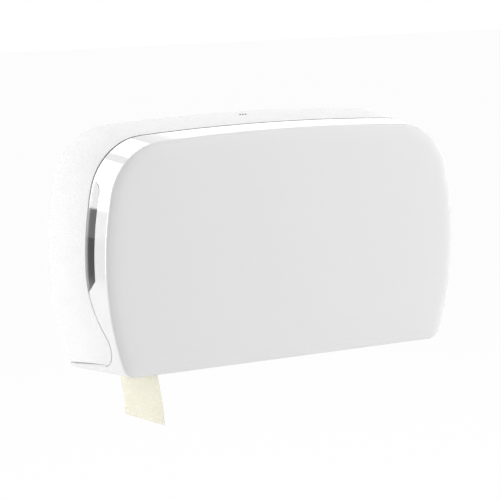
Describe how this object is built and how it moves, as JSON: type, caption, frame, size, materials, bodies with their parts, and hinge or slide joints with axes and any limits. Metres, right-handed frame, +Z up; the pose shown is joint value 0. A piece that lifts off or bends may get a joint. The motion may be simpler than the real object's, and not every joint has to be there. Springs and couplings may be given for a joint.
{
  "type": "twin-roll toilet paper dispenser",
  "caption": "Wall-mounted twin-roll toilet paper dispenser: textured rear shell, drop-down glossy cover with matt front, smoked level windows and a hanging sheet.",
  "frame": {"origin": "centre of the wall-screw pattern, on the wall plane", "axes": "+Z up, +X along the width to the right as seen from the room, +Y into the wall, so the front faces -Y"},
  "size_m": [0.5038, 0.11, 0.337],
  "materials": {
    "shell_white": "fine matt texture",
    "rim_white": "gloss",
    "panel_white": "satin matt",
    "smoked_window": "clear smoked",
    "hub_grey": "satin",
    "lock_grey": "satin",
    "axle_steel": "turned",
    "screw_steel": "zinc plated",
    "tooth_steel": "bright",
    "brake_rubber": "matt",
    "tissue": "embossed",
    "core_board": "spiral wound"
  },
  "bodies": {
    "case": {"rear_shell": "shell_white", "axle_left": "axle_steel", "axle_right": "axle_steel", "axle_screws": "screw_steel", "brake_washer_left": "brake_rubber", "brake_washer_right": "brake_rubber", "axle_cap_left": "hub_grey", "axle_cap_right": "hub_grey", "lock_housing": "lock_grey", "lock_screws": "screw_steel", "hinge_pins": "axle_steel", "paper_sheet": "tissue"},
    "left_roll": {"hub_left": "hub_grey", "core_left": "core_board", "roll_left": "tissue"},
    "right_roll": {"hub_right": "hub_grey", "core_right": "core_board", "roll_right": "tissue"},
    "cover": {"cover_frame": "rim_white", "front_panel": "panel_white", "panel_screws": "screw_steel", "window_left": "smoked_window", "window_right": "smoked_window", "tear_bar_left": "tooth_steel", "tear_bar_right": "tooth_steel", "tear_bar_screws": "screw_steel", "striker": "screw_steel", "striker_screws": "screw_steel"},
    "shutter": {"shutter": "hub_grey"},
    "latch": {"latch_bar": "lock_grey"}
  },
  "joints": [
    {"name": "cover_hinge", "type": "hinge", "parent": "case", "child": "cover", "pos_m": [0, -0.006, -0.1465], "axis": [1, 0, 0], "range_deg": [0, 88], "deforming": ["paper_sheet"]},
    {"name": "left_roll_spin", "type": "hinge", "parent": "case", "child": "left_roll", "pos_m": [-0.119, -0.055, -0.02], "axis": [0, 1, 0], "continuous": true},
    {"name": "right_roll_spin", "type": "hinge", "parent": "case", "child": "right_roll", "pos_m": [0.119, -0.055, -0.02], "axis": [0, 1, 0], "continuous": true},
    {"name": "shutter_slide", "type": "slide", "parent": "cover", "child": "shutter", "axis": [-1, 0, 0], "range_m": [0, 0.099]},
    {"name": "latch_slide", "type": "slide", "parent": "case", "child": "latch", "axis": [0, 0, 1], "range_m": [0, 0.007]}
  ]
}
